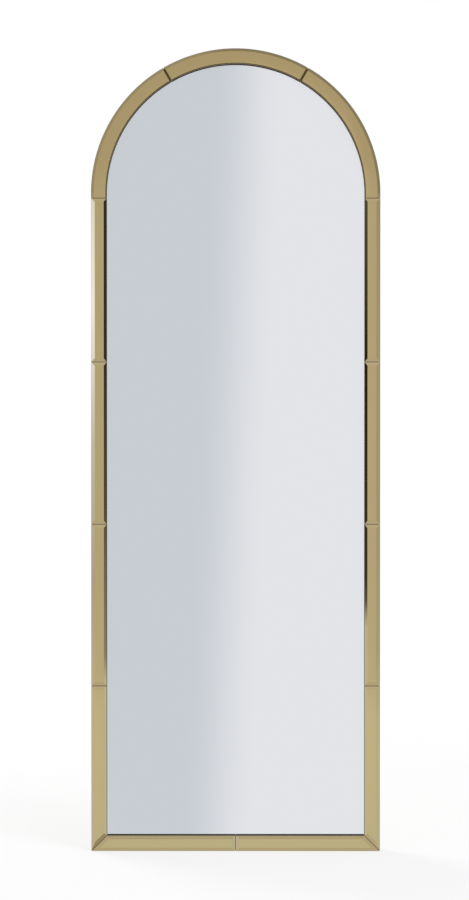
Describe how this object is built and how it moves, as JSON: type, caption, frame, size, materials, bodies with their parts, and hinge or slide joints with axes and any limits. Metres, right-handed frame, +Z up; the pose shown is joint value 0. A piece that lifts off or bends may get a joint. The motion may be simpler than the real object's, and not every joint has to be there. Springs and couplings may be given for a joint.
{
  "type": "wall mirror",
  "caption": "Arched full-length wall mirror: a plain silver mirror set back in a raised border of bevelled, gold-tinted mirror strips, with battens and D-ring hangers behind.",
  "frame": {"origin": "under the middle of the bottom edge, half way through the depth", "axes": "+X to the right of someone facing the mirror, -Y the mirrored front, +Y the wall side, +Z up"},
  "size_m": [0.648, 0.0474, 1.8],
  "materials": {
    "silver_mirror": "polished silver mirror",
    "tinted_mirror": "polished gold-tinted mirror",
    "painted_board": "fibreboard, painted black",
    "backing_board": "raw fibreboard, edges painted black",
    "batten_wood": "planed pine",
    "adhesive": "cured sealant",
    "tape": "foam tape",
    "hanger_steel": "zinc plated",
    "screw_steel": "zinc plated",
    "bumper_rubber": "matt"
  },
  "bodies": {
    "mirror": {"backing_panel": "backing_board", "batten_bottom": "batten_wood", "batten_left": "batten_wood", "batten_middle": "batten_wood", "batten_right": "batten_wood", "batten_screws": "screw_steel", "batten_top": "batten_wood", "border_arch_left": "painted_board", "border_arch_right": "painted_board", "border_bottom": "painted_board", "border_left": "painted_board", "border_right": "painted_board", "border_screws": "screw_steel", "bumper_bottom_left": "bumper_rubber", "bumper_bottom_right": "bumper_rubber", "bumper_top_left": "bumper_rubber", "bumper_top_right": "bumper_rubber", "centre_mirror": "silver_mirror", "hanger_screws": "screw_steel", "hanger_strap_left": "hanger_steel", "hanger_strap_right": "hanger_steel", "mirror_adhesive": "adhesive", "strip_arch_left": "tinted_mirror", "strip_arch_right": "tinted_mirror", "strip_arch_top": "tinted_mirror", "strip_bottom_left": "tinted_mirror", "strip_bottom_right": "tinted_mirror", "strip_left_1": "tinted_mirror", "strip_left_2": "tinted_mirror", "strip_left_3": "tinted_mirror", "strip_left_4": "tinted_mirror", "strip_right_1": "tinted_mirror", "strip_right_2": "tinted_mirror", "strip_right_3": "tinted_mirror", "strip_right_4": "tinted_mirror", "strip_tape": "tape"},
    "ring_left": {"hanger_ring_left": "hanger_steel"},
    "ring_right": {"hanger_ring_right": "hanger_steel"}
  },
  "joints": [
    {"name": "ring_left_swing", "type": "hinge", "parent": "mirror", "child": "ring_left", "pos_m": [-0.17, 0.01235, 1.332], "axis": [1, 0, 0], "range_deg": [0, 175]},
    {"name": "ring_right_swing", "type": "hinge", "parent": "mirror", "child": "ring_right", "pos_m": [0.17, 0.01235, 1.332], "axis": [1, 0, 0], "range_deg": [0, 175]}
  ]
}
